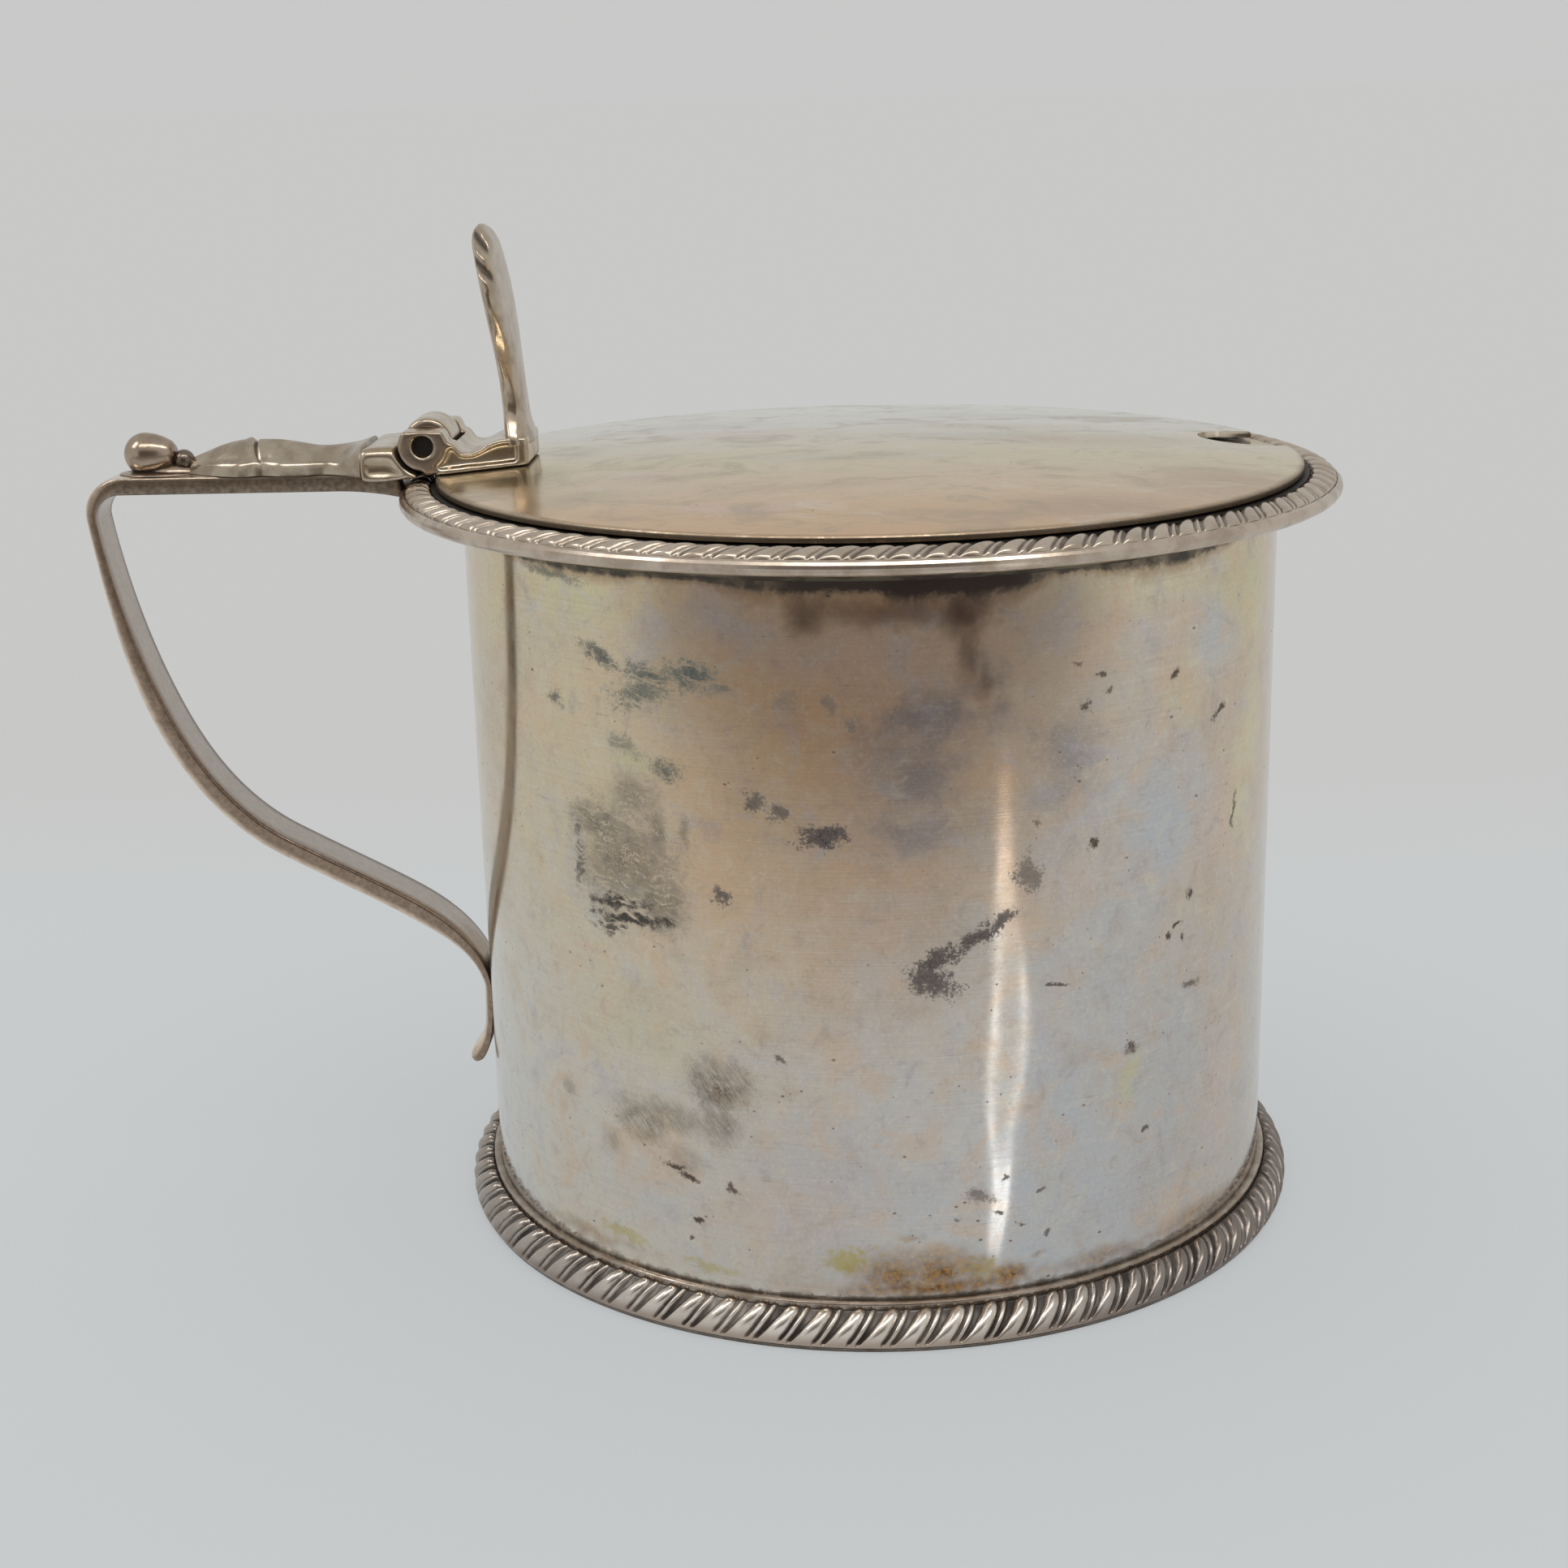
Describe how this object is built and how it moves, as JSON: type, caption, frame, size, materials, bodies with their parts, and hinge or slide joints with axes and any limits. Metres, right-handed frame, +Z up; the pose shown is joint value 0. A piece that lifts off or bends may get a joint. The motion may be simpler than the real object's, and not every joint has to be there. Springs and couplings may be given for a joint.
{
  "type": "mustard pot",
  "caption": "Drum-shaped silver mustard pot with gadroon borders, a hinged lid with a spoon notch and shell thumbpiece, a strap handle and a blue glass liner.",
  "frame": {"origin": "on the table, under the middle of the whole length from the handle to the rim; the drum's axis is 12.45 mm from it towards +X", "axes": "+Z up along the drum's axis, -X towards the handle, hinge axis along Y"},
  "size_m": [0.0962, 0.0714, 0.0763],
  "materials": {
    "sheet_silver": "polished silver, tarnished and scratched",
    "cast_silver": "polished cast silver with tarnish in its recesses",
    "dark_silver": "oxidised silver, bright on its high points",
    "cobalt_glass": "clear dark blue glass"
  },
  "bodies": {
    "pot": {"drum_wall": "sheet_silver", "base_plate": "sheet_silver", "foot_ring": "cast_silver", "foot_gadroon": "dark_silver", "rim_flange": "cast_silver", "rim_gadroon": "dark_silver", "handle_strap": "cast_silver", "handle_leaf": "cast_silver", "handle_bead": "cast_silver", "handle_ball": "cast_silver", "hinge_block": "cast_silver", "hinge_pin": "dark_silver", "glass_liner": "cobalt_glass"},
    "lid": {"lid_plate": "sheet_silver", "lid_bracket": "cast_silver", "thumbpiece": "cast_silver"}
  },
  "joints": [
    {"name": "lid_hinge", "type": "hinge", "parent": "pot", "child": "lid", "pos_m": [-0.02097, 0, 0.06025], "axis": [0, -1, 0], "range_deg": [0, 100]}
  ]
}
